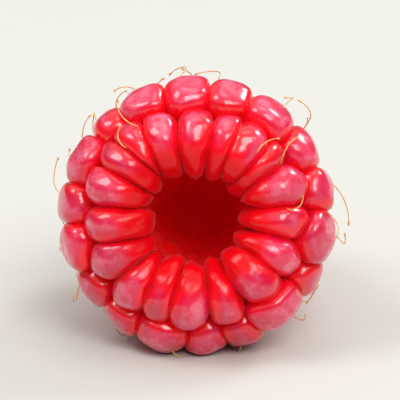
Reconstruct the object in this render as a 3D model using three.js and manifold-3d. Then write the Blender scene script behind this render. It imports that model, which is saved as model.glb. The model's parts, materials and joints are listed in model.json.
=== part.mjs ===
// A ripe raspberry, as picked: one hollow fruit of about a hundred drupelets grown together.
// The fruit has its own frame while it is built: its axis runs along +Y from the mouth at Y = 0, where the
// stalk's core was pulled out, to the tip. Angles round the axis run clockwise from +Z as seen from the mouth.
// It is then laid down as it rests, on its flank with the mouth tipped up. Millimetres, +Z up.

import * as THREE from "three";
import { mergeVertices } from "three/addons/utils/BufferGeometryUtils.js";
import Module from "manifold-3d";

const wasm = await Module();
wasm.setup();

const { degToRad } = THREE.MathUtils;
const AXIS = new THREE.Vector3(0, 1, 0);

// The fruit's outline: a straight flank that tapers into a round tip.
const LENGTH = 25.0;
const WIDEST_RADIUS = 11.3;
const WIDEST_AT = 6.2;
const TAPER = degToRad(15.5);
const SHOULDER_RADIUS = 7.0;
const TIP_RADIUS =
  (WIDEST_RADIUS - (LENGTH - WIDEST_AT) * Math.tan(TAPER)) /
  (Math.cos(TAPER) - Math.tan(TAPER) * (1 - Math.sin(TAPER)));
const TIP_CENTRE = LENGTH - TIP_RADIUS;
const FLANK_LENGTH =
  (TIP_CENTRE + TIP_RADIUS * Math.sin(TAPER) - WIDEST_AT) / Math.cos(TAPER);
const FLANK_START = -2.4;
const FLANK_END = FLANK_LENGTH + TIP_RADIUS * (Math.PI / 2 - TAPER) - 0.1;

// The ring of long drupelets that curls into the mouth: the angle in degrees from each one to the next.
const RIM_GAPS = [
  21, 13, 15, 21, 21, 23, 20, 26, 24, 17, 18, 24, 22, 24, 18, 13, 16, 24,
];
const RIM_START = -6;
const RIM_RADIUS = 6.7;
const RIM_AT = 2.9;
const RIM_LEAN = degToRad(-80);
const RIM_REACH = { side: 2.1, away: 2.6, mouth: 3.2, out: 2.9, in: 3.4 };

// The rows behind the rim: how many drupelets, how far along the flank from the widest row, and their size.
const ROWS = [
  { count: 18, along: -1.6, size: 1.08 },
  { count: 17, along: 2.4, size: 1.1 },
  { count: 15, along: 6.4, size: 1.08 },
  { count: 14, along: 10.2, size: 1.03 },
  { count: 12, along: 13.7, size: 0.96 },
  { count: 9, along: 16.8, size: 0.88 },
  { count: 6, along: 19.5, size: 0.8 },
  { count: 3, along: 22.0, size: 0.76 },
];
const RISE = 3.0;
const HALF_PITCH = 1.72;
const RIM_PITCH = 3.6;
const SPREAD = 2.9;
const DEEP = 3.6;
const DEEP_NEAR_TIP = 3.0;
const DEEP_ROWS = 4;

// How the drupelets settle against each other, and how hard they are pressed together.
const SETTLING_STEPS = 40;
const SETTLING_RATE = 0.12;
const TOUCHING_WITHIN = 6.0;
const ROUNDING = 7.5;
const PRESSED = 1.09;

// The wall that joins the drupelets, and the hollow inside it, as radius and place along the axis.
const WALL = [
  [0, 21.6],
  [3.2, 20.6],
  [5.2, 18.2],
  [6.4, 15.0],
  [7.3, 11.5],
  [8.1, 7.8],
  [7.9, 5.2],
  [6.2, 4.2],
  [0, 4.2],
];
const HOLLOW = [
  [0, 15.8],
  [1.2, 15.5],
  [2.2, 14.7],
  [3.1, 13.0],
  [3.8, 10.8],
  [4.2, 8.5],
  [4.45, 6.2],
  [4.3, 4.6],
  [3.9, 3.2],
  [0, 3.2],
];
const WALL_SIDES = 16;

// How the fruit rests: its axis tips down towards the tip, and its weight flattens the lowest drupelets.
const REST_TILT = degToRad(16);
const REST_ROLL = degToRad(6);
const FLATTENED = 0.4;

const DRUPELET_SIDES = 7;
const DRUPELET_RINGS = [0, 32, 64, 180];

/** A repeatable scatter from -1 to 1, for drupelet number i and property k. */
function scatter(i, k) {
  const wave = Math.sin(i * 12.9898 + k * 78.233) * 43758.5453;
  return 2 * (wave - Math.floor(wave)) - 1;
}

/** The directions away from the axis, clockwise round it, and along the surface towards the tip. */
function directions(angle, lean) {
  const away = new THREE.Vector3(Math.sin(angle), 0, Math.cos(angle));
  return {
    away,
    side: new THREE.Vector3(Math.cos(angle), 0, -Math.sin(angle)),
    out: away
      .clone()
      .multiplyScalar(Math.cos(lean))
      .addScaledVector(AXIS, Math.sin(lean)),
    up: away
      .clone()
      .multiplyScalar(-Math.sin(lean))
      .addScaledVector(AXIS, Math.cos(lean)),
  };
}

/** Radius, place along the axis and lean of the surface, at a distance along the flank and a depth inside. */
function flank(along, depth) {
  if (along < 0) {
    const lean = TAPER + along / SHOULDER_RADIUS;
    const reach = SHOULDER_RADIUS - depth;
    return {
      radius:
        WIDEST_RADIUS -
        SHOULDER_RADIUS * Math.cos(TAPER) +
        reach * Math.cos(lean),
      at:
        WIDEST_AT - SHOULDER_RADIUS * Math.sin(TAPER) + reach * Math.sin(lean),
      lean,
    };
  }
  if (along < FLANK_LENGTH)
    return {
      radius:
        WIDEST_RADIUS - along * Math.sin(TAPER) - depth * Math.cos(TAPER),
      at: WIDEST_AT + along * Math.cos(TAPER) - depth * Math.sin(TAPER),
      lean: TAPER,
    };
  const lean = TAPER + (along - FLANK_LENGTH) / TIP_RADIUS;
  return {
    radius: (TIP_RADIUS - depth) * Math.cos(lean),
    at: TIP_CENTRE + (TIP_RADIUS - depth) * Math.sin(lean),
    lean,
  };
}

/** Puts a drupelet behind the rim where its angle and its distance along the flank say. */
function place(drupelet) {
  const { radius, at, lean } = flank(drupelet.along, drupelet.rise);
  const { away, side, out, up } = directions(drupelet.angle, lean);
  drupelet.radius = radius;
  drupelet.centre = away.multiplyScalar(radius).addScaledVector(AXIS, at);
  Object.assign(drupelet, { side, out, up });
}

function rimDrupelets() {
  let degrees = RIM_START;
  return RIM_GAPS.map((gap, i) => {
    const { away, side, out, up } = directions(degToRad(degrees), RIM_LEAN);
    degrees += gap;
    return {
      onRim: true,
      number: i,
      centre: away
        .multiplyScalar(RIM_RADIUS + 0.35 * scatter(i, 2))
        .addScaledVector(AXIS, RIM_AT + 0.35 * scatter(i, 3)),
      side,
      out,
      up,
      size: 1 + 0.09 * scatter(i, 4),
      reach: RIM_REACH,
    };
  });
}

function rowDrupelets() {
  const made = [];
  ROWS.forEach(({ count, along, size }, row) => {
    const pitch = (2 * Math.PI) / count;
    for (let i = 0; i < count; i += 1) {
      const number = RIM_GAPS.length + made.length;
      const ownSize = size * (1 + 0.07 * scatter(number, 4));
      const rise =
        RISE * (0.8 + 0.2 * size) + 0.12 * scatter(number, 2);
      const spread = SPREAD * ownSize;
      const drupelet = {
        onRim: false,
        number,
        angle: pitch * (i + 0.5 * ((row + 1) % 2) + 0.12 * scatter(number, 1)),
        along: along + 0.35 * scatter(number, 3),
        rise,
        size: ownSize,
        reach: {
          side: spread,
          away: spread,
          mouth: spread,
          out: rise,
          in: row < DEEP_ROWS ? DEEP : DEEP_NEAR_TIP,
        },
      };
      place(drupelet);
      made.push(drupelet);
    }
  });
  return made;
}

/** Lets the drupelets behind the rim push each other along the surface until they are evenly packed. */
function settle(drupelets) {
  const offset = new THREE.Vector3();
  const loose = drupelets.filter((one) => !one.onRim);
  for (let step = 0; step < SETTLING_STEPS; step += 1) {
    const moves = loose.map((one) => {
      let along = 0;
      let across = 0;
      for (const other of drupelets) {
        if (other === one) continue;
        offset.subVectors(one.centre, other.centre);
        const wanted = other.onRim
          ? RIM_PITCH
          : HALF_PITCH * (one.size + other.size);
        const distance = offset.length();
        if (distance >= wanted) continue;
        const push = (wanted - distance) / distance;
        along += push * offset.dot(one.up);
        across += push * offset.dot(one.side);
      }
      return { along, across };
    });
    loose.forEach((one, i) => {
      const moved = one.along + SETTLING_RATE * moves[i].along;
      one.along = Math.max(FLANK_START, Math.min(moved, FLANK_END));
      one.angle += (SETTLING_RATE * moves[i].across) / Math.max(one.radius, 1);
      place(one);
    });
  }
}

/** The flat faces where a drupelet is pressed against its neighbours. */
function pressedFaces(one, drupelets) {
  return drupelets
    .filter((other) => other !== one)
    .map((other) => ({
      other,
      offset: new THREE.Vector3().subVectors(other.centre, one.centre),
    }))
    .filter(({ offset }) => offset.length() < TOUCHING_WITHIN)
    .map(({ other, offset }) => {
      const distance = offset.length();
      return {
        normal: offset.divideScalar(distance),
        distance: (distance * one.size * PRESSED) / (one.size + other.size),
      };
    });
}

/** How far a drupelet reaches in a direction: an egg with its sides pressed flat, all of it rounded. */
function reachAlong(direction, one, faces) {
  const { reach } = one;
  const side = direction.dot(one.side) / reach.side;
  const up = direction.dot(one.up);
  const out = direction.dot(one.out);
  const egg = Math.hypot(
    side,
    up / (up > 0 ? reach.away : reach.mouth),
    out / (out > 0 ? reach.out : reach.in),
  );
  let total = egg ** ROUNDING;
  for (const { normal, distance } of faces)
    total += Math.max(0, direction.dot(normal) / distance) ** ROUNDING;
  return total ** (-1 / ROUNDING);
}

/** A three.js geometry as a solid for joining and cutting. */
function solidOf(geometry) {
  geometry.deleteAttribute("normal");
  geometry.deleteAttribute("uv");
  const merged = mergeVertices(geometry, 1e-5);
  return new wasm.Manifold(
    new wasm.Mesh({
      numProp: 3,
      vertProperties: merged.attributes.position.array,
      triVerts: new Uint32Array(merged.index.array),
    }),
  );
}

function geometryOf(solid) {
  const { vertProperties, triVerts } = solid.getMesh();
  return new THREE.BufferGeometry()
    .setAttribute("position", new THREE.BufferAttribute(vertProperties, 3))
    .setIndex(new THREE.BufferAttribute(triVerts, 1));
}

/** A unit ball with more rings on the side that shows. */
function ball() {
  const outline = DRUPELET_RINGS.map((degrees) => {
    const angle = Math.PI - degToRad(degrees);
    const onAxis = degrees === 0 || degrees === 180;
    return new THREE.Vector2(onAxis ? 0 : Math.sin(angle), Math.cos(angle));
  });
  return new THREE.LatheGeometry(outline, DRUPELET_SIDES, Math.PI);
}

function drupeletSolid(one, drupelets) {
  const faces = pressedFaces(one, drupelets);
  const geometry = ball();
  const points = geometry.getAttribute("position");
  const direction = new THREE.Vector3();
  const world = new THREE.Vector3();
  for (let i = 0; i < points.count; i += 1) {
    direction.fromBufferAttribute(points, i).normalize();
    world
      .set(0, 0, 0)
      .addScaledVector(one.side, direction.x)
      .addScaledVector(one.up, direction.z)
      .addScaledVector(one.out, -direction.y);
    const reach = reachAlong(world, one, faces);
    world.multiplyScalar(reach).add(one.centre);
    points.setXYZ(i, world.x, world.y, world.z);
  }
  return solidOf(geometry);
}

function turned(outline) {
  return solidOf(
    new THREE.LatheGeometry(
      outline.map(([radius, at]) => new THREE.Vector2(radius, at)).reverse(),
      WALL_SIDES,
    ),
  );
}

function fruitSolid() {
  const drupelets = [...rimDrupelets(), ...rowDrupelets()];
  settle(drupelets);
  const grown = wasm.Manifold.union([
    ...drupelets.map((one) => drupeletSolid(one, drupelets)),
    turned(WALL),
  ]);
  return grown.subtract(turned(HOLLOW));
}

/** The fruit as it lies: tipped and rolled to its rest, its lowest drupelets flattened at Z = 0. */
function restingGeometry() {
  const geometry = geometryOf(fruitSolid())
    .rotateY(REST_ROLL)
    .rotateX(-REST_TILT);
  geometry.computeBoundingBox();
  const { min, max } = geometry.boundingBox;
  geometry.translate(
    -(min.x + max.x) / 2,
    -(min.y + max.y) / 2,
    -min.z - FLATTENED,
  );
  const surface = new THREE.BoxGeometry(4 * LENGTH, 4 * LENGTH, LENGTH);
  surface.translate(0, 0, -LENGTH / 2);
  return geometryOf(solidOf(geometry).subtract(solidOf(surface)));
}

const raspberry = new THREE.Mesh(
  restingGeometry(),
  new THREE.MeshStandardMaterial({
    color: 0xe0203f,
    roughness: 0.35,
    metalness: 0,
  }),
);
raspberry.name = "raspberry";

const part = new THREE.Group();
part.add(raspberry);

export default part;
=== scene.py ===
"""A ripe raspberry, picked and lying on its flank, with its hollow facing forward.

The fruit is worked out in its own frame first, in millimetres. Its axis runs along +Y from the mouth at Y = 0
to the tip, and angles round the axis run clockwise from +Z as seen from the mouth. It is then laid down as it
rests and scaled to metres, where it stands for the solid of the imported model.
"""

import json
import logging
import math
from collections.abc import Sequence
from dataclasses import dataclass, field
from enum import Enum, IntEnum

import bmesh
import bpy
import numpy as np
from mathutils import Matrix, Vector

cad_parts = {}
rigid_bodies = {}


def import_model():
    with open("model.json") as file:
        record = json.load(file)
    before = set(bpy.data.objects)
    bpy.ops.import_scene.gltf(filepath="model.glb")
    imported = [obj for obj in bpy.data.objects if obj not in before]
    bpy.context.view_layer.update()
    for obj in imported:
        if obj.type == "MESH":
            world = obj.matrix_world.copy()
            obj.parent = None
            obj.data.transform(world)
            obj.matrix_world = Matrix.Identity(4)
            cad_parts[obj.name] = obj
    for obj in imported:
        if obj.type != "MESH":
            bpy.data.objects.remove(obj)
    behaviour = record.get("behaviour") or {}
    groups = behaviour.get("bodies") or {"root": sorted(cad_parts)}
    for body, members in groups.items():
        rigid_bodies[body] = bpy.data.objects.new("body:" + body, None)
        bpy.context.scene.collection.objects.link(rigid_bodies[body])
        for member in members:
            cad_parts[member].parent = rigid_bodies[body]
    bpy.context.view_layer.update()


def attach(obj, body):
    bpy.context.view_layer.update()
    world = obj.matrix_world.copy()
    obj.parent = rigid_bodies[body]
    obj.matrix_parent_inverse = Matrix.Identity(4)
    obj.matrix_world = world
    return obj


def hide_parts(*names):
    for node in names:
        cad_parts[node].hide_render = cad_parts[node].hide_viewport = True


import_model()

LOG = logging.getLogger("raspberry")
METRES = 0.001
AXIS = np.array([0.0, 1.0, 0.0])
FAR = 1e9


# A colour, or the socket that gives one.
Paint = tuple[float, float, float] | bpy.types.NodeSocket


class Zone(Enum):
    """Where on the fruit a drupelet sits."""

    RIM = "rim"
    FLANK = "flank"
    TIP = "tip"


class Trait(IntEnum):
    """What a repeatable draw decides about one drupelet or its thread."""

    ANGLE = 1
    HEIGHT = 2
    PLACE = 3
    SIZE = 4
    SWELL_FIRST = 11
    SWELL_SECOND = 12
    SWELL_THIRD = 13
    RIDGES = 14
    TONE = 21
    BARE = 30
    LENGTH = 31
    HEADING = 32
    CURL = 33
    LIFT = 34
    WANDER = 35
    ARCH = 36
    ROOT = 37
    HAND = 38


def scatter(number: int, trait: Trait) -> float:
    """Gives a repeatable draw from -1 to 1 for one trait of one numbered thing.

    Args:
        number: The thing's number.
        trait: Which of its traits is drawn.

    Returns:
        The draw.
    """
    wave = math.sin(number * 12.9898 + trait * 78.233) * 43758.5453
    return 2.0 * (wave - math.floor(wave)) - 1.0


def smooth_step(low: float, high: float, values: np.ndarray) -> np.ndarray:
    """Eases values from 0 at low to 1 at high.

    Args:
        low: Where the step starts.
        high: Where it ends.
        values: The values to ease.

    Returns:
        The eased values.
    """
    share = np.clip((values - low) / (high - low), 0.0, 1.0)
    return share * share * (3.0 - 2.0 * share)


def mesh_object(name: str, points: np.ndarray, faces: Sequence[Sequence[int]]) -> bpy.types.Object:
    """Makes an object from points and faces and puts it in the scene.

    Args:
        name: The object's name.
        points: One row of coordinates for each vertex.
        faces: The vertices of each face.

    Returns:
        The new object.
    """
    mesh = bpy.data.meshes.new(name)
    mesh.from_pydata(np.asarray(points).tolist(), [], [list(face) for face in faces])
    mesh.update()
    made = bpy.data.objects.new(name, mesh)
    bpy.context.scene.collection.objects.link(made)
    return made


@dataclass
class Drupelet:
    """One bead of the fruit: where it sits, how it is turned and how far it would reach if it stood alone."""

    number: int
    zone: Zone
    angle: float
    along: float
    rise: float
    size: float
    reach: tuple[float, float, float, float, float]
    radius: float = 0.0
    centre: np.ndarray = field(default_factory=lambda: np.zeros(3))
    side: np.ndarray = field(default_factory=lambda: np.zeros(3))
    up: np.ndarray = field(default_factory=lambda: np.zeros(3))
    out: np.ndarray = field(default_factory=lambda: np.zeros(3))

    def turn(self, angle: float, lean: float) -> np.ndarray:
        """Points the bead's own directions for its place on the fruit.

        Args:
            angle: The angle round the axis.
            lean: How far its outward direction leans towards the tip.

        Returns:
            The direction straight away from the axis.
        """
        away = np.array([math.sin(angle), 0.0, math.cos(angle)])
        self.side = np.array([math.cos(angle), 0.0, -math.sin(angle)])
        self.out = away * math.cos(lean) + AXIS * math.sin(lean)
        self.up = away * -math.sin(lean) + AXIS * math.cos(lean)
        return away


@dataclass
class Outline:
    """The fruit's outline: a round shoulder, a straight flank that tapers, and a round tip."""

    length: float = 25.0
    widest_radius: float = 11.3
    widest_at: float = 6.2
    taper: float = math.radians(15.5)
    shoulder_radius: float = 7.0
    short_of_pole: float = 0.1

    def __post_init__(self) -> None:
        """Works out the round tip that the flank runs into."""
        rest = self.widest_radius - (self.length - self.widest_at) * math.tan(self.taper)
        self.tip_radius = rest / (math.cos(self.taper) - math.tan(self.taper) * (1.0 - math.sin(self.taper)))
        self.tip_centre = self.length - self.tip_radius
        straight = self.tip_centre + self.tip_radius * math.sin(self.taper) - self.widest_at
        self.flank_length = straight / math.cos(self.taper)
        self.end = self.flank_length + self.tip_radius * (math.pi / 2.0 - self.taper) - self.short_of_pole

    def at(self, along: float, depth: float) -> tuple[float, float, float]:
        """Finds a point on the outline, or some depth inside it.

        Args:
            along: Distance along the flank from the widest row.
            depth: How far inside the outline.

        Returns:
            Radius, place along the axis, and the lean of the surface.
        """
        if along < 0.0:
            lean = self.taper + along / self.shoulder_radius
            reach = self.shoulder_radius - depth
            radius = self.widest_radius - self.shoulder_radius * math.cos(self.taper) + reach * math.cos(lean)
            place = self.widest_at - self.shoulder_radius * math.sin(self.taper) + reach * math.sin(lean)
            return radius, place, lean
        if along < self.flank_length:
            radius = self.widest_radius - along * math.sin(self.taper) - depth * math.cos(self.taper)
            place = self.widest_at + along * math.cos(self.taper) - depth * math.sin(self.taper)
            return radius, place, self.taper
        lean = self.taper + (along - self.flank_length) / self.tip_radius
        reach = self.tip_radius - depth
        return reach * math.cos(lean), self.tip_centre + reach * math.sin(lean), lean

    def point(self, angle: float, along: float, height: float) -> np.ndarray:
        """Finds a point over the surface.

        Args:
            angle: The angle round the axis.
            along: Distance along the flank from the widest row.
            height: How far it stands off the surface.

        Returns:
            The point.
        """
        radius, place, _ = self.at(along, -height)
        return np.array([radius * math.sin(angle), place, radius * math.cos(angle)])


@dataclass
class Packing:
    """How the drupelets are set out round the fruit and settle against each other."""

    outline: Outline = field(default_factory=Outline)
    rim_gaps: tuple[int, ...] = (21, 13, 15, 21, 21, 23, 20, 26, 24, 17, 18, 24, 22, 24, 18, 13, 16, 24)
    rim_start: float = -6.0
    rim_radius: float = 6.7
    rim_at: float = 2.9
    rim_lean: float = math.radians(-80.0)
    rim_reach: tuple[float, float, float, float, float] = (2.1, 2.6, 3.2, 2.9, 3.4)
    rows: tuple[tuple[int, float, float], ...] = (
        (18, -1.6, 1.08), (17, 2.4, 1.10), (15, 6.4, 1.08), (14, 10.2, 1.03),
        (12, 13.7, 0.96), (9, 16.8, 0.88), (6, 19.5, 0.80), (3, 22.0, 0.76),
    )
    flank_rows: int = 5
    rise: float = 3.0
    rise_by_size: float = 0.2
    spread: float = 2.9
    deep: float = 3.6
    deep_rows: int = 4
    deep_near_tip: float = 3.0
    rim_size_scatter: float = 0.09
    rim_place_scatter: float = 0.35
    size_scatter: float = 0.07
    rise_scatter: float = 0.12
    angle_scatter: float = 0.12
    place_scatter: float = 0.35
    half_pitch: float = 1.72
    rim_pitch: float = 3.6
    first_place: float = -2.4
    steps: int = 40
    rate: float = 0.12

    def rim(self) -> list[Drupelet]:
        """Makes the ring of long drupelets that curls into the mouth.

        Returns:
            The rim's drupelets, clockwise from the top.
        """
        made: list[Drupelet] = []
        degrees = self.rim_start
        for number, gap in enumerate(self.rim_gaps):
            bead = Drupelet(number, Zone.RIM, math.radians(degrees), 0.0, self.rim_reach[3],
                            1.0 + self.rim_size_scatter * scatter(number, Trait.SIZE), self.rim_reach)
            away = bead.turn(bead.angle, self.rim_lean)
            bead.centre = (away * (self.rim_radius + self.rim_place_scatter * scatter(number, Trait.HEIGHT))
                           + AXIS * (self.rim_at + self.rim_place_scatter * scatter(number, Trait.PLACE)))
            degrees += gap
            made.append(bead)
        return made

    def flank(self) -> list[Drupelet]:
        """Makes the rows behind the rim, before they settle.

        Returns:
            Their drupelets, row by row.
        """
        made: list[Drupelet] = []
        for row, (count, along, size) in enumerate(self.rows):
            pitch = 2.0 * math.pi / count
            for place in range(count):
                number = len(self.rim_gaps) + len(made)
                own = size * (1.0 + self.size_scatter * scatter(number, Trait.SIZE))
                rise = self.rise * (1.0 - self.rise_by_size + self.rise_by_size * size)
                rise += self.rise_scatter * scatter(number, Trait.HEIGHT)
                spread = self.spread * own
                deep = self.deep if row < self.deep_rows else self.deep_near_tip
                half_step = 0.5 * ((row + 1) % 2)
                made.append(Drupelet(
                    number, Zone.FLANK if row < self.flank_rows else Zone.TIP,
                    pitch * (place + half_step + self.angle_scatter * scatter(number, Trait.ANGLE)),
                    along + self.place_scatter * scatter(number, Trait.PLACE), rise, own,
                    (spread, spread, spread, rise, deep)))
        for bead in made:
            self.set_down(bead)
        return made

    def set_down(self, bead: Drupelet) -> None:
        """Puts a drupelet where its angle and its distance along the flank say.

        Args:
            bead: The drupelet to place.
        """
        bead.radius, place, lean = self.outline.at(bead.along, bead.rise)
        bead.centre = bead.turn(bead.angle, lean) * bead.radius + AXIS * place

    def settle(self) -> list[Drupelet]:
        """Lets the rows push each other along the surface until they are evenly packed.

        Returns:
            Every drupelet of the fruit, the rim first.
        """
        rim = self.rim()
        loose = self.flank()
        beads = rim + loose
        sizes = np.array([bead.size for bead in beads])
        wanted = self.half_pitch * (sizes[:, None] + sizes[None, :])
        wanted[:, :len(rim)] = self.rim_pitch
        for _ in range(self.steps):
            centres = np.array([bead.centre for bead in beads])
            offsets = centres[:, None, :] - centres[None, :, :]
            distances = np.linalg.norm(offsets, axis=2) + np.eye(len(beads)) * FAR
            push = np.maximum(0.0, wanted - distances) / distances
            moves = (push[:, :, None] * offsets).sum(axis=1)
            for index, bead in enumerate(loose, start=len(rim)):
                moved = bead.along + self.rate * float(moves[index] @ bead.up)
                bead.angle += self.rate * float(moves[index] @ bead.side) / max(bead.radius, 1.0)
                bead.along = min(max(moved, self.first_place), self.outline.end)
                self.set_down(bead)
        return beads


@dataclass
class BeadShape:
    """The shape of one drupelet: an egg whose sides are pressed flat by its neighbours, all of it rounded."""

    sides: int = 40
    crown_steps: int = 17
    crown_end: float = 100.0
    root_rings: tuple[float, ...] = (118.0, 145.0)
    rounding: float = 7.5
    pressed: float = 1.09
    touching: float = 6.0
    lumps: float = 0.055
    lump_waves: tuple[tuple[float, float, float], ...] = ((2.7, 3.7, 1.8), (-3.1, 1.8, 2.8), (1.9, -2.4, 3.7))
    ridges: float = 0.035
    ridge_waves: float = 12.0
    ridge_edge: tuple[float, float] = (0.1, 0.8)
    phases: float = 3.0

    def ball(self) -> tuple[np.ndarray, list[tuple[int, ...]]]:
        """Makes the directions that a drupelet's skin is sampled in, finest on the side that shows.

        Returns:
            The unit directions (side, up, out) and the faces between them.
        """
        rings = [self.crown_end * (step + 1) / self.crown_steps for step in range(self.crown_steps)]
        rings += list(self.root_rings)
        points = [(0.0, 0.0, 1.0)]
        for degrees in rings:
            tip = math.radians(degrees)
            for side in range(self.sides):
                turn = 2.0 * math.pi * side / self.sides
                points.append((math.sin(tip) * math.cos(turn), math.sin(tip) * math.sin(turn), math.cos(tip)))
        points.append((0.0, 0.0, -1.0))
        last = len(points) - 1
        faces: list[tuple[int, ...]] = []
        for side in range(self.sides):
            after = (side + 1) % self.sides
            faces.append((0, 1 + side, 1 + after))
            for ring in range(len(rings) - 1):
                start = 1 + ring * self.sides
                below = start + self.sides
                faces.append((start + side, below + side, below + after, start + after))
            start = 1 + (len(rings) - 1) * self.sides
            faces.append((start + after, start + side, last))
        return np.array(points), faces

    def skin(self, bead: Drupelet, beads: Sequence[Drupelet], directions: np.ndarray) -> np.ndarray:
        """Works out the skin of one drupelet.

        Args:
            bead: The drupelet.
            beads: All the drupelets of the fruit.
            directions: Unit directions in the drupelet's own frame.

        Returns:
            A point of the skin for each direction.
        """
        side, away, mouth, out, root = bead.reach
        across, up, forth = directions[:, 0], directions[:, 1], directions[:, 2]
        egg = np.sqrt((across / side) ** 2 + (up / np.where(up > 0.0, away, mouth)) ** 2
                      + (forth / np.where(forth > 0.0, out, root)) ** 2)
        world = directions @ np.stack([bead.side, bead.up, bead.out])
        total = egg ** self.rounding
        for other in beads:
            offset = other.centre - bead.centre
            distance = float(np.linalg.norm(offset))
            if other is bead or distance > self.touching:
                continue
            wall = distance * bead.size * self.pressed / (bead.size + other.size)
            total = total + np.maximum(0.0, world @ (offset / distance) / wall) ** self.rounding
        reach = total ** (-1.0 / self.rounding)
        traits = (Trait.SWELL_FIRST, Trait.SWELL_SECOND, Trait.SWELL_THIRD)
        first, second, third = (world @ np.array(wave) + self.phases * scatter(bead.number, trait)
                                for wave, trait in zip(self.lump_waves, traits))
        swell = np.sin(first) * np.sin(second) * np.cos(third)
        uneven = self.lumps * swell
        if bead.zone is Zone.RIM:
            inward = smooth_step(*self.ridge_edge, -up)
            phase = self.phases * scatter(bead.number, Trait.RIDGES)
            uneven = uneven + self.ridges * inward * np.cos(self.ridge_waves * across + phase)
        return bead.centre + world * (reach * (1.0 + uneven))[:, None]


@dataclass(frozen=True)
class FleshFinish:
    """Ripe skin: translucent red with a faint pale bloom on the domes, partly the fruit's own and partly
    painted sheen, and pure red in the creases, painted brighter as glow of light through the flesh.
    """

    dome: tuple[float, float, float] = (0.65, 0.003, 0.060)
    # Pale pink over the dome tops, partly the fruit's own bloom and partly painted sheen.
    bloom_and_sheen: tuple[float, float, float] = (0.95, 0.30, 0.43)
    # The creases' own pure red, made brighter as painted glow of light passing through the flesh and between
    # the drupelets.
    crease_red_and_glow: tuple[float, float, float] = (0.84, 0.001, 0.012)
    throat: tuple[float, float, float] = (0.74, 0.001, 0.006)
    hollow: tuple[float, float, float] = (0.97, 0.001, 0.002)
    roughness: float = 0.24
    coat: float = 0.8
    fine_grain: float = 7500.0
    mottling: float = 900.0

    def build(self) -> bpy.types.Material:
        """Builds the skin from its creases with their painted glow, its domes with their bloom and painted
        sheen, its throat and its hollow.

        Returns:
            The material.
        """
        sheet = NodeSheet("raspberry_skin")
        dome = sheet.attribute("dome")
        inside = sheet.attribute("hollow")
        throat = sheet.attribute("throat")
        tone = sheet.attribute("tone")
        cells = sheet.noise(self.fine_grain, 2.0, 0.5)
        mottle = sheet.noise(self.mottling, 2.0, 0.55)
        speckle = sheet.ramp(cells, 0.30, 0.78)
        patches = sheet.ramp(mottle, 0.40, 0.68)
        softened = sheet.math("MULTIPLY_ADD", speckle, 0.45, 0.35)
        # Share of pale bloom on the dome tops, partly the fruit's own and partly painted sheen; the skin is
        # rougher where it lies.
        frost_and_sheen = sheet.math("MULTIPLY", softened, sheet.ramp(dome, 0.50, 1.0))
        frost_and_sheen = sheet.math("MULTIPLY", frost_and_sheen, sheet.math("MULTIPLY_ADD", patches, 0.55, 0.10))
        # 0 in the creases and at the mouth, where the brighter red of the painted glow shows, and 1 on the
        # domes.
        covered = sheet.math("MULTIPLY", sheet.ramp(dome, 0.0, 0.8), sheet.math("SUBTRACT", 1.0, throat))
        frost_and_sheen = sheet.math("MULTIPLY", frost_and_sheen, covered)
        # Mixes the creases' brighter red, which is painted glow, into the dome colour.
        ripe_and_glow = sheet.mix(covered, self.crease_red_and_glow, self.dome)
        # Lays the pale bloom and painted sheen over the ripe colour.
        bloomed_and_sheened = sheet.mix(frost_and_sheen, ripe_and_glow, self.bloom_and_sheen)
        toned = sheet.shade(bloomed_and_sheened, tone)
        deepened = sheet.mix(sheet.ramp(throat, 0.35, 1.0), toned, self.throat)
        colour = sheet.mix(inside, deepened, self.hollow)
        rough = sheet.math("MULTIPLY_ADD", frost_and_sheen, 0.22, self.roughness)
        rough = sheet.math("MULTIPLY_ADD", inside, 0.30, rough)
        bump = sheet.bump(cells, 0.10, 0.00006)
        bump = sheet.bump(mottle, 0.34, 0.0003, bump)
        shader = sheet.shader
        sheet.link(colour, shader.inputs["Base Color"])
        sheet.link(rough, shader.inputs["Roughness"])
        sheet.link(bump, shader.inputs["Normal"])
        shader.inputs["Subsurface Weight"].default_value = 0.6
        shader.inputs["Subsurface Radius"].default_value = (1.0, 0.07, 0.05)
        shader.inputs["Subsurface Scale"].default_value = 0.0030
        shader.inputs["IOR"].default_value = 1.37
        open_skin = sheet.math("SUBTRACT", 1.0, sheet.math("MAXIMUM", inside, sheet.ramp(throat, 0.0, 0.8)))
        sheet.link(sheet.math("MULTIPLY", open_skin, self.coat), shader.inputs["Coat Weight"])
        shader.inputs["Coat Roughness"].default_value = 0.055
        shader.inputs["Coat IOR"].default_value = 1.55
        shader.inputs["Sheen Weight"].default_value = 0.18
        shader.inputs["Sheen Roughness"].default_value = 0.30
        shader.inputs["Sheen Tint"].default_value = (1.0, 0.62, 0.70, 1.0)
        return sheet.material


@dataclass(frozen=True)
class StyleFinish:
    """Wilted styles: thin golden threads, browner in patches."""

    gold: tuple[float, float, float] = (0.80, 0.50, 0.16)
    brown: tuple[float, float, float] = (0.58, 0.26, 0.06)
    grain: float = 2600.0

    def build(self) -> bpy.types.Material:
        """Builds the threads' material.

        Returns:
            The material.
        """
        sheet = NodeSheet("dried_style")
        grain = sheet.noise(self.grain, 2.0, 0.5)
        colour = sheet.mix(sheet.ramp(grain, 0.35, 0.7), self.gold, self.brown)
        sheet.link(colour, sheet.shader.inputs["Base Color"])
        sheet.link(sheet.bump(grain, 0.3, 0.00004), sheet.shader.inputs["Normal"])
        sheet.shader.inputs["Roughness"].default_value = 0.42
        sheet.shader.inputs["Subsurface Weight"].default_value = 0.3
        sheet.shader.inputs["Subsurface Scale"].default_value = 0.0003
        return sheet.material


@dataclass(frozen=True)
class FloorFinish:
    """A plain pale surface with a trace of tooth."""

    colour: tuple[float, float, float] = (0.58, 0.58, 0.542)

    def build(self) -> bpy.types.Material:
        """Builds the surface's material.

        Returns:
            The material.
        """
        sheet = NodeSheet("pale_floor")
        sheet.shader.inputs["Base Color"].default_value = (*self.colour, 1.0)
        sheet.shader.inputs["Roughness"].default_value = 0.7
        sheet.shader.inputs["Specular IOR Level"].default_value = 0.2
        return sheet.material


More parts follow.
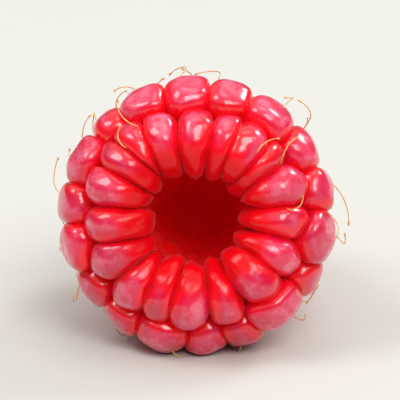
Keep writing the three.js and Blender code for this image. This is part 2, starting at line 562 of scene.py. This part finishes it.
class NodeSheet:
    """A material's node tree, with a short call for each kind of node that the finishes use."""

    def __init__(self, name: str) -> None:
        """Makes a material with only its shader and output.

        Args:
            name: The material's name.
        """
        self.material = bpy.data.materials.new(name)
        self.material.use_nodes = True
        self.tree = self.material.node_tree
        self.shader = self.tree.nodes["Principled BSDF"]
        self.place = self.tree.nodes.new("ShaderNodeTexCoord").outputs["Object"]

    def link(self, source: bpy.types.NodeSocket, target: bpy.types.NodeSocket) -> None:
        """Joins two sockets."""
        self.tree.links.new(source, target)

    def feed(self, value: bpy.types.NodeSocket | float, target: bpy.types.NodeSocket) -> None:
        """Links a socket or sets a plain value.

        Args:
            value: A socket to link from, or a number.
            target: The socket that takes it.
        """
        if isinstance(value, bpy.types.NodeSocket):
            self.link(value, target)
        else:
            target.default_value = value

    def attribute(self, name: str) -> bpy.types.NodeSocket:
        """Reads a value that the mesh carries.

        Args:
            name: The attribute's name.

        Returns:
            Its value.
        """
        node = self.tree.nodes.new("ShaderNodeAttribute")
        node.attribute_name = name
        return node.outputs["Fac"]

    def noise(self, scale: float, detail: float, roughness: float) -> bpy.types.NodeSocket:
        """Makes a cloudy pattern.

        Args:
            scale: How fine it is, per metre.
            detail: How many finer layers it has.
            roughness: How strong they are.

        Returns:
            The pattern, from 0 to 1.
        """
        node = self.tree.nodes.new("ShaderNodeTexNoise")
        self.link(self.place, node.inputs["Vector"])
        node.inputs["Scale"].default_value = scale
        node.inputs["Detail"].default_value = detail
        node.inputs["Roughness"].default_value = roughness
        return node.outputs["Fac"]

    def ramp(self, value: bpy.types.NodeSocket, low: float, high: float) -> bpy.types.NodeSocket:
        """Stretches a value so that low becomes 0 and high becomes 1, eased at both ends.

        Args:
            value: The value to stretch.
            low: What becomes 0.
            high: What becomes 1.

        Returns:
            The stretched value.
        """
        node = self.tree.nodes.new("ShaderNodeMapRange")
        node.interpolation_type = "SMOOTHSTEP"
        self.link(value, node.inputs["Value"])
        node.inputs["From Min"].default_value = low
        node.inputs["From Max"].default_value = high
        return node.outputs["Result"]

    def math(self, operation: str, *values: bpy.types.NodeSocket | float) -> bpy.types.NodeSocket:
        """Does sums on values.

        Args:
            operation: Which sum.
            *values: Sockets or numbers.

        Returns:
            The answer.
        """
        node = self.tree.nodes.new("ShaderNodeMath")
        node.operation = operation
        for value, target in zip(values, node.inputs):
            self.feed(value, target)
        return node.outputs["Value"]

    def mix(self, share: bpy.types.NodeSocket, first: Paint, second: Paint) -> bpy.types.NodeSocket:
        """Mixes two colours.

        Args:
            share: How much of the second.
            first: A colour, or a socket that gives one.
            second: A colour, or a socket that gives one.

        Returns:
            The mixed colour.
        """
        node = self.tree.nodes.new("ShaderNodeMix")
        node.data_type = "RGBA"
        self.link(share, node.inputs["Factor"])
        for colour, target in ((first, node.inputs[6]), (second, node.inputs[7])):
            if isinstance(colour, tuple):
                target.default_value = (*colour, 1.0)
            else:
                self.link(colour, target)
        return node.outputs[2]

    def shade(self, colour: bpy.types.NodeSocket, value: bpy.types.NodeSocket) -> bpy.types.NodeSocket:
        """Lightens or darkens a colour.

        Args:
            colour: The colour.
            value: What its brightness is multiplied by.

        Returns:
            The new colour.
        """
        node = self.tree.nodes.new("ShaderNodeHueSaturation")
        self.link(colour, node.inputs["Color"])
        self.link(value, node.inputs["Value"])
        return node.outputs["Color"]

    def bump(self, height: bpy.types.NodeSocket, strength: float, distance: float,
             under: bpy.types.NodeSocket | None = None) -> bpy.types.NodeSocket:
        """Roughens the surface.

        Args:
            height: The pattern.
            strength: How strong it is.
            distance: How high it stands, in metres.
            under: A coarser bump that this one sits on.

        Returns:
            The surface direction.
        """
        node = self.tree.nodes.new("ShaderNodeBump")
        node.inputs["Strength"].default_value = strength
        node.inputs["Distance"].default_value = distance
        self.link(height, node.inputs["Height"])
        if under is not None:
            self.link(under, node.inputs["Normal"])
        return node.outputs["Normal"]


@dataclass
class Rest:
    """How the fruit lies: tipped back and rolled, its lowest drupelets pressed flat."""

    tilt: float = math.radians(16.0)
    roll: float = math.radians(6.0)
    flattened: float = 0.4
    shift: np.ndarray = field(default_factory=lambda: np.zeros(3))

    def turned(self, points: np.ndarray) -> np.ndarray:
        """Rolls and tips points of the fruit's own frame.

        Args:
            points: One row of coordinates for each point.

        Returns:
            The turned points.
        """
        roll_cos, roll_sin = math.cos(self.roll), math.sin(self.roll)
        tilt_cos, tilt_sin = math.cos(self.tilt), math.sin(self.tilt)
        roll = np.array([[roll_cos, 0.0, roll_sin], [0.0, 1.0, 0.0], [-roll_sin, 0.0, roll_cos]])
        tilt = np.array([[1.0, 0.0, 0.0], [0.0, tilt_cos, tilt_sin], [0.0, -tilt_sin, tilt_cos]])
        return points @ (tilt @ roll).T

    def lay(self, points: np.ndarray) -> np.ndarray:
        """Lays the whole fruit down, and keeps the shift for what grows on it.

        Args:
            points: Every point of the fruit.

        Returns:
            The points at rest, in metres, none below the surface.
        """
        turned = self.turned(points)
        low, high = turned.min(axis=0), turned.max(axis=0)
        middle = (low + high) / 2.0
        self.shift = np.array([-middle[0], -middle[1], -low[2] - self.flattened])
        return self.carry(points)

    def carry(self, points: np.ndarray) -> np.ndarray:
        """Moves points as the fruit was moved.

        Args:
            points: Points in the fruit's own frame.

        Returns:
            The points at rest, in metres, none below the surface.
        """
        moved = self.turned(points) + self.shift
        moved[:, 2] = np.maximum(moved[:, 2], 0.0)
        return moved * METRES


@dataclass
class Flesh:
    """The fruit's body: every drupelet grown together round a hollow."""

    beads: list[Drupelet]
    rest: Rest
    shape: BeadShape = field(default_factory=BeadShape)
    finish: FleshFinish = field(default_factory=FleshFinish)
    wall: tuple[tuple[float, float], ...] = (
        (0.0, 21.6), (3.2, 20.6), (5.2, 18.2), (6.4, 15.0), (7.3, 11.5), (8.1, 7.8), (7.9, 5.2), (6.2, 4.2),
        (0.0, 4.2),
    )
    cavity: tuple[tuple[float, float], ...] = (
        (0.0, 15.8), (1.2, 15.5), (2.2, 14.7), (3.1, 13.0), (3.8, 10.8), (4.2, 8.5), (4.45, 6.2), (4.3, 4.6),
        (3.9, 3.2), (0.0, 3.2),
    )
    turned_sides: int = 96
    wall_step: float = 1.0
    cavity_step: float = 0.35
    cell_bulge: float = 0.3
    cell_edge: float = 0.9
    near_axis: float = 0.5
    weld: float = 0.004
    speck: float = 0.002
    sharp: float = math.radians(48.0)
    dome_edge: tuple[float, float] = (0.02, 0.95)
    hollow_radii: tuple[float, float] = (5.4, 4.3)
    hollow_places: tuple[float, float] = (3.0, 5.2)
    hollow_end: float = 16.5
    throat_radii: tuple[float, float] = (7.4, 5.0)
    throat_places: tuple[float, float] = (7.0, 4.0)
    tone_scatter: float = 0.12

    def rounded(self, outline: Sequence[tuple[float, float]], step: float) -> list[tuple[float, float]]:
        """Adds points along an outline so that no stretch is longer than a step.

        Args:
            outline: Radius and place along the axis of each corner.
            step: The longest stretch.

        Returns:
            The outline with the points added.
        """
        made = [outline[0]]
        for (radius, place), (next_radius, next_place) in zip(outline, outline[1:]):
            parts = max(1, math.ceil(math.hypot(next_radius - radius, next_place - place) / step))
            for part in range(1, parts + 1):
                share = part / parts
                made.append((radius + (next_radius - radius) * share, place + (next_place - place) * share))
        return made

    def turned(self, name: str, outline: Sequence[tuple[float, float]], bulge: float) -> bpy.types.Object:
        """Turns an outline round the axis into a closed body.

        Args:
            name: The body's name.
            outline: Radius and place along the axis, from the tip end to the mouth end, on the axis at both.
            bulge: How far each drupelet behind the surface swells it inwards.

        Returns:
            The body.
        """
        inner = outline[1:-1]
        points = [(0.0, outline[0][1], 0.0)]
        for radius, place in inner:
            for side in range(self.turned_sides):
                turn = 2.0 * math.pi * side / self.turned_sides
                points.append((radius * math.sin(turn), place, radius * math.cos(turn)))
        points.append((0.0, outline[-1][1], 0.0))
        body = np.array(points)
        if bulge > 0.0:
            nearest, second = self.two_nearest(body)
            shrink = bulge * smooth_step(0.0, self.cell_edge, second - nearest)
            radii = np.hypot(body[:, 0], body[:, 2])
            clear = radii > self.near_axis
            scale = np.where(clear, 1.0 - shrink / np.maximum(radii, self.near_axis), 1.0)
            body[:, 0] *= scale
            body[:, 2] *= scale
        faces: list[tuple[int, ...]] = []
        last = len(points) - 1
        for side in range(self.turned_sides):
            after = (side + 1) % self.turned_sides
            faces.append((0, 1 + side, 1 + after))
            for ring in range(len(inner) - 1):
                start = 1 + ring * self.turned_sides
                below = start + self.turned_sides
                faces.append((start + side, below + side, below + after, start + after))
            start = 1 + (len(inner) - 1) * self.turned_sides
            faces.append((start + after, start + side, last))
        return mesh_object(name, body, faces)

    def two_nearest(self, points: np.ndarray) -> tuple[np.ndarray, np.ndarray]:
        """Measures each point to the two drupelets that it lies nearest to, weighed by their sizes.

        Args:
            points: The points to measure.

        Returns:
            The nearest and the second nearest distance.
        """
        near = np.sort(self.weighed(points), axis=1)
        return near[:, 0], near[:, 1]

    def weighed(self, points: np.ndarray) -> np.ndarray:
        """Gives each point's distance to every drupelet, divided by its size.

        Args:
            points: The points to measure.

        Returns:
            One row for each point and one column for each drupelet.
        """
        centres = np.array([bead.centre for bead in self.beads])
        sizes = np.array([bead.size for bead in self.beads])
        squares = ((points ** 2).sum(axis=1)[:, None] + (centres ** 2).sum(axis=1)[None, :]
                   - 2.0 * points @ centres.T)
        return np.sqrt(np.maximum(squares, 0.0)) / sizes[None, :]

    def grow(self) -> bpy.types.Object:
        """Joins the drupelets to the wall, cuts the hollow and applies both.

        Returns:
            One closed body in the fruit's own frame.
        """
        cluster = bpy.data.collections.new("drupelets")
        directions, faces = self.shape.ball()
        for bead in self.beads:
            skin = self.shape.skin(bead, self.beads, directions)
            made = mesh_object(f"drupelet_{bead.number}", skin, faces)
            bpy.context.scene.collection.objects.unlink(made)
            cluster.objects.link(made)
        body = self.turned("raspberry_flesh", self.rounded(self.wall, self.wall_step), 0.0)
        hollow = self.turned("hollow", self.rounded(self.cavity, self.cavity_step), self.cell_bulge)
        joined = body.modifiers.new("join", "BOOLEAN")
        joined.operation = "UNION"
        joined.solver = "MANIFOLD"
        joined.operand_type = "COLLECTION"
        joined.collection = cluster
        cut = body.modifiers.new("cut", "BOOLEAN")
        cut.operation = "DIFFERENCE"
        cut.solver = "MANIFOLD"
        cut.object = hollow
        shaped = bpy.data.meshes.new_from_object(body.evaluated_get(bpy.context.evaluated_depsgraph_get()))
        body.modifiers.clear()
        body.data = shaped
        for helper in [*cluster.objects, hollow]:
            bpy.data.objects.remove(helper, do_unlink=True)
        bpy.data.collections.remove(cluster)
        return body

    def clean(self, mesh: bpy.types.Mesh) -> None:
        """Welds specks left by the joins and turns every face outward.

        Args:
            mesh: The mesh to clean.
        """
        work = bmesh.new()
        work.from_mesh(mesh)
        bmesh.ops.remove_doubles(work, verts=work.verts, dist=self.weld)
        bmesh.ops.dissolve_degenerate(work, edges=work.edges, dist=self.speck)
        bmesh.ops.triangulate(work, faces=[face for face in work.faces if len(face.verts) > 4])
        bmesh.ops.recalc_face_normals(work, faces=work.faces)
        work.to_mesh(mesh)
        work.free()

    def mark(self, mesh: bpy.types.Mesh, points: np.ndarray) -> None:
        """Stores on the mesh where its creases, domes and hollow are, and each drupelet's own tone.

        Args:
            mesh: The mesh that carries the values.
            points: Its points in the fruit's own frame.
        """
        weighed = self.weighed(points)
        owner = weighed.argmin(axis=1)
        near = np.sort(weighed, axis=1)
        dome = smooth_step(*self.dome_edge, near[:, 1] - near[:, 0])
        radii, places = np.hypot(points[:, 0], points[:, 2]), points[:, 1]
        inside = smooth_step(*self.hollow_radii, radii) * smooth_step(*self.hollow_places, places)
        inside = inside * (places < self.hollow_end)
        throat = smooth_step(*self.throat_radii, radii) * smooth_step(*self.throat_places, places)
        tones = np.array([1.0 + self.tone_scatter * scatter(bead.number, Trait.TONE) for bead in self.beads])
        for name, values in (("dome", dome), ("hollow", inside), ("throat", throat), ("tone", tones[owner])):
            layer = mesh.attributes.new(name, "FLOAT", "POINT")
            layer.data.foreach_set("value", np.asarray(values, dtype=np.float32))

    def build(self) -> bpy.types.Object:
        """Builds and dresses the flesh, and puts it in place of the plain solid.

        Returns:
            The finished piece.
        """
        body = self.grow()
        mesh = body.data
        self.clean(mesh)
        points = np.empty(len(mesh.vertices) * 3)
        mesh.vertices.foreach_get("co", points)
        points = points.reshape(-1, 3)
        self.mark(mesh, points)
        mesh.vertices.foreach_set("co", self.rest.lay(points).ravel())
        mesh.polygons.foreach_set("use_smooth", [True] * len(mesh.polygons))
        mesh.set_sharp_from_angle(angle=self.sharp)
        mesh.update()
        mesh.materials.clear()
        mesh.materials.append(self.finish.build())
        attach(body, "root")
        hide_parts("raspberry")
        return body


@dataclass
class Styles:
    """The thin wilted threads that still grow from many of the drupelets."""

    beads: list[Drupelet]
    rest: Rest
    outline: Outline = field(default_factory=Outline)
    finish: StyleFinish = field(default_factory=StyleFinish)
    thickness: float = 0.055
    knob: float = 0.08
    shortest: float = 3.0
    longest: float = 5.2
    steps: int = 26
    sides: int = 6
    root_offset: float = 1.6
    root_depth: float = 1.1
    root_turn: float = 0.8
    curl: float = 1.0
    curl_scatter: float = 0.8
    lift: float = 0.10
    lift_scatter: float = 0.30
    arch: float = 0.62
    arch_scatter: float = 0.34
    wander: float = 0.35
    wander_waves: float = 6.0
    wander_phases: float = 3.0
    least_radius: float = 2.5
    short_of_tip: float = 0.4
    front_limit: float = -7.0
    share: float = 1.0
    rim_share: float = 0.3
    rim_length: float = 0.6
    rim_heading: float = 0.55
    rim_heading_scatter: float = 0.35
    rim_curl: float = 1.6
    rim_curl_scatter: float = 0.8
    rim_root_up: float = 0.6
    rim_root_scatter: float = 0.8
    rim_root_side: float = 1.2
    rim_root_depth: float = 1.3
    rim_drop: float = 0.25
    rim_dip: float = 0.9
    rim_arch: float = 0.5
    rim_arch_waves: float = 2.4
    rim_bend: float = 9.0

    def route(self, bead: Drupelet) -> np.ndarray:
        """Works out the curl of one thread over its neighbours.

        Args:
            bead: The drupelet that it grows from.

        Returns:
            The points of its centre line.
        """
        drawn = 0.5 + 0.5 * scatter(bead.number, Trait.LENGTH)
        length = self.shortest + (self.longest - self.shortest) * drawn
        if bead.zone is Zone.RIM:
            return self.front_route(bead, self.rim_length * length)
        heading = math.pi * scatter(bead.number, Trait.HEADING)
        bend = scatter(bead.number, Trait.CURL)
        curl = math.copysign(self.curl + self.curl_scatter * abs(bend), bend)
        lift = self.root_depth + self.lift + self.lift_scatter * scatter(bead.number, Trait.LIFT)
        arch = math.pi * (self.arch + self.arch_scatter * abs(scatter(bead.number, Trait.ARCH)))
        phase = self.wander_phases * scatter(bead.number, Trait.WANDER)
        root = heading + math.pi + self.root_turn * scatter(bead.number, Trait.ROOT)
        away = self.root_offset * bead.size
        angle = bead.angle + away * math.cos(root) / self.turning_radius(bead.along)
        along = bead.along + away * math.sin(root)
        points = [self.outline.point(angle, along, -self.root_depth)]
        stride = length / self.steps
        for step in range(1, self.steps + 1):
            share = step / self.steps
            lean = heading + curl * share + self.wander * math.sin(self.wander_waves * share + phase)
            angle += stride * math.cos(lean) / self.turning_radius(along)
            along = min(along + stride * math.sin(lean), self.outline.end - self.short_of_tip)
            height = lift * math.sin(arch * share) - self.root_depth * (1.0 - share)
            points.append(self.outline.point(angle, max(along, self.front_limit), height))
        return np.array(points)

    def turning_radius(self, along: float) -> float:
        """Gives the outline's radius at a distance along the flank, kept off zero near the tip."""
        return max(self.outline.at(along, 0.0)[0], self.least_radius)

    def front_route(self, bead: Drupelet, length: float) -> np.ndarray:
        """Works out the curl of a thread that grows from a drupelet of the rim.

        Args:
            bead: The drupelet.
            length: How long the thread is.

        Returns:
            The points of its centre line.
        """
        hand = math.copysign(1.0, scatter(bead.number, Trait.HAND))
        heading = -hand * (self.rim_heading + self.rim_heading_scatter * scatter(bead.number, Trait.HEADING))
        curl = hand * (self.rim_curl + self.rim_curl_scatter * scatter(bead.number, Trait.CURL))
        climb = self.rim_root_up + self.rim_root_scatter * scatter(bead.number, Trait.ROOT)
        start = bead.centre + bead.up * climb + bead.side * self.rim_root_side * hand
        spot = np.zeros(2)
        points = [start + bead.out * (bead.rise - self.rim_root_depth)]
        for step in range(1, self.steps + 1):
            share = step / self.steps
            lean = heading + curl * share
            spot = spot + length / self.steps * np.array([math.sin(lean), math.cos(lean)])
            droop = (1.0 + spot[1]) ** 2 / self.rim_bend
            height = bead.rise - self.rim_drop - droop + self.rim_arch * math.sin(self.rim_arch_waves * share)
            height -= self.rim_dip * max(0.0, 1.0 - 3.0 * share) ** 2
            points.append(start + bead.side * spot[0] + bead.up * spot[1] + bead.out * height)
        return np.array(points)

    def tube(self, route: np.ndarray) -> tuple[np.ndarray, list[tuple[int, ...]]]:
        """Wraps a thin closed skin round a centre line, with a knob at its end.

        Args:
            route: The points of the centre line.

        Returns:
            The skin's points and faces.
        """
        count = len(route)
        ahead = np.gradient(route, axis=0)
        ahead /= np.linalg.norm(ahead, axis=1)[:, None]
        side = np.cross(ahead[0], np.array([0.31, 0.52, 0.79]))
        side /= np.linalg.norm(side)
        points: list[np.ndarray] = []
        for index in range(count):
            side = side - ahead[index] * float(side @ ahead[index])
            side /= np.linalg.norm(side)
            other = np.cross(ahead[index], side)
            share = index / (count - 1)
            radius = self.thickness * (1.0 - 0.3 * share)
            if index >= count - 2:
                radius = self.knob
            for turn in range(self.sides):
                sweep = 2.0 * math.pi * turn / self.sides
                points.append(route[index] + radius * (side * math.cos(sweep) + other * math.sin(sweep)))
        points.append(route[0] - ahead[0] * self.thickness)
        points.append(route[-1] + ahead[-1] * self.knob * 0.8)
        faces: list[tuple[int, ...]] = []
        start, end = len(points) - 2, len(points) - 1
        last_ring = (count - 1) * self.sides
        for turn in range(self.sides):
            after = (turn + 1) % self.sides
            faces.append((start, after, turn))
            faces.append((end, last_ring + turn, last_ring + after))
            for ring in range(count - 1):
                low, high = ring * self.sides, (ring + 1) * self.sides
                faces.append((low + turn, low + after, high + after, high + turn))
        return np.array(points), faces

    def build(self) -> bpy.types.Object:
        """Builds and dresses every thread as one piece.

        Returns:
            The finished piece.
        """
        points: list[np.ndarray] = []
        faces: list[tuple[int, ...]] = []
        for bead in self.beads:
            share = self.rim_share if bead.zone is Zone.RIM else self.share
            bare = 0.5 + 0.5 * scatter(bead.number, Trait.BARE) > share
            if bare or bead.along > self.outline.end - 1.0:
                continue
            skin, wraps = self.tube(self.route(bead))
            offset = sum(len(done) for done in points)
            points.append(skin)
            faces += [tuple(offset + corner for corner in wrap) for wrap in wraps]
        made = mesh_object("styles", self.rest.carry(np.concatenate(points)), faces)
        made.data.polygons.foreach_set("use_smooth", [True] * len(made.data.polygons))
        made.data.materials.append(self.finish.build())
        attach(made, "root")
        return made


@dataclass
class Studio:
    """The plain pale floor and backdrop, and the soft lights."""

    floor_radius: float = 4.0
    floor_sides: int = 96
    backdrop: tuple[float, float, float] = (0.896, 0.896, 0.831)
    horizon: tuple[float, float, float] = (0.13, 0.13, 0.13)
    overhead: tuple[float, float, float] = (0.75, 0.75, 0.74)
    dim_below: float = 0.35
    bright_above: float = 0.65
    aim: tuple[float, float, float] = (0.0, 0.0, 0.011)
    finish: FloorFinish = field(default_factory=FloorFinish)

    def floor(self) -> bpy.types.Object:
        """Lays a wide round floor just under the fruit.

        Returns:
            The floor.
        """
        rim = [(self.floor_radius * math.cos(2.0 * math.pi * side / self.floor_sides),
                self.floor_radius * math.sin(2.0 * math.pi * side / self.floor_sides), 0.0)
               for side in range(self.floor_sides)]
        made = mesh_object("floor", np.array(rim), [tuple(range(self.floor_sides))])
        made.data.materials.append(self.finish.build())
        return made

    def sky(self) -> None:
        """Shows a plain pale backdrop, and fills in with soft light that is brightest from overhead."""
        world = bpy.data.worlds.new("pale_backdrop")
        world.use_nodes = True
        nodes, links = world.node_tree.nodes, world.node_tree.links
        split = nodes.new("ShaderNodeSeparateXYZ")
        climb = nodes.new("ShaderNodeMapRange")
        climb.interpolation_type = "SMOOTHSTEP"
        climb.inputs["From Min"].default_value = self.dim_below
        climb.inputs["From Max"].default_value = self.bright_above
        shade = nodes.new("ShaderNodeMix")
        shade.data_type = "RGBA"
        shade.inputs[6].default_value = (*self.horizon, 1.0)
        shade.inputs[7].default_value = (*self.overhead, 1.0)
        seen = nodes.new("ShaderNodeMix")
        seen.data_type = "RGBA"
        seen.inputs[7].default_value = (*self.backdrop, 1.0)
        links.new(nodes.new("ShaderNodeTexCoord").outputs["Generated"], split.inputs["Vector"])
        links.new(split.outputs["Z"], climb.inputs["Value"])
        links.new(climb.outputs["Result"], shade.inputs["Factor"])
        links.new(nodes.new("ShaderNodeLightPath").outputs["Is Camera Ray"], seen.inputs["Factor"])
        links.new(shade.outputs[2], seen.inputs[6])
        links.new(seen.outputs[2], nodes["Background"].inputs["Color"])
        bpy.context.scene.world = world

    def softbox(self, name: str, place: tuple[float, float, float], size: float, watts: float) -> None:
        """Hangs a square soft light that faces the fruit.

        Args:
            name: The light's name.
            place: Where it hangs, in metres.
            size: The length of its side.
            watts: Its power.
        """
        lamp = bpy.data.lights.new(name, "AREA")
        lamp.shape = "SQUARE"
        lamp.size = size
        lamp.energy = watts
        holder = bpy.data.objects.new(name, lamp)
        holder.location = place
        aim = Vector(self.aim) - Vector(place)
        holder.rotation_euler = aim.to_track_quat("-Z", "Y").to_euler()
        bpy.context.scene.collection.objects.link(holder)

    def sun(self, name: str, place: tuple[float, float, float], spread: float, strength: float) -> None:
        """Adds a far soft light that reaches the whole floor alike.

        Args:
            name: The light's name.
            place: The direction that it shines from.
            spread: How wide it looks, in degrees.
            strength: How bright it makes a surface that faces it.
        """
        lamp = bpy.data.lights.new(name, "SUN")
        lamp.angle = math.radians(spread)
        lamp.energy = strength
        holder = bpy.data.objects.new(name, lamp)
        holder.rotation_euler = (-Vector(place)).to_track_quat("-Z", "Y").to_euler()
        bpy.context.scene.collection.objects.link(holder)

    def build(self) -> None:
        """Sets up the floor, the backdrop and the lights."""
        self.floor()
        self.sky()
        self.sun("overhead_light", place=(0.10, 0.15, 1.0), spread=30.0, strength=0.36)
        self.sun("right_light", place=(0.75, -0.35, 0.85), spread=16.0, strength=0.20)
        self.softbox("back_light", place=(1.60, 1.30, 1.70), size=0.80, watts=24.0)
        self.softbox("front_light", place=(1.04, -2.16, 2.40), size=1.68, watts=62.0)
        self.softbox("left_light", place=(-1.92, -0.64, 2.72), size=1.36, watts=37.0)


@dataclass
class Viewpoint:
    """The camera, in front of the fruit's mouth and a little above it."""

    elevation: float = math.radians(19.5)
    azimuth: float = math.radians(3.0)
    distance: float = 0.37
    lens: float = 400.0
    aim: tuple[float, float, float] = (0.0, -0.001, 0.0104)

    def build(self) -> bpy.types.Object:
        """Sets up the camera and makes it the scene's own.

        Returns:
            The camera.
        """
        camera = bpy.data.cameras.new("camera")
        camera.lens = self.lens
        camera.clip_start = 0.01
        camera.clip_end = 20.0
        holder = bpy.data.objects.new("camera", camera)
        back = Vector((math.sin(self.azimuth) * math.cos(self.elevation),
                       -math.cos(self.azimuth) * math.cos(self.elevation), math.sin(self.elevation)))
        holder.location = Vector(self.aim) + back * self.distance
        holder.rotation_euler = (-back).to_track_quat("-Z", "Y").to_euler()
        bpy.context.scene.collection.objects.link(holder)
        bpy.context.scene.camera = holder
        bpy.context.scene.view_settings.view_transform = "Standard"
        return holder


def main() -> None:
    """Builds the camera, the fruit and the studio in order."""
    logging.basicConfig(level=logging.INFO, format="%(name)s: %(message)s")
    Viewpoint().build()
    packing = Packing()
    beads = packing.settle()
    rest = Rest()
    flesh = Flesh(beads, rest).build()
    LOG.info("%s: %d drupelets, %d faces", flesh.name, len(beads), len(flesh.data.polygons))
    styles = Styles(beads, rest, packing.outline).build()
    LOG.info("%s: %d faces", styles.name, len(styles.data.polygons))
    Studio().build()


if __name__ == "__main__":
    main()
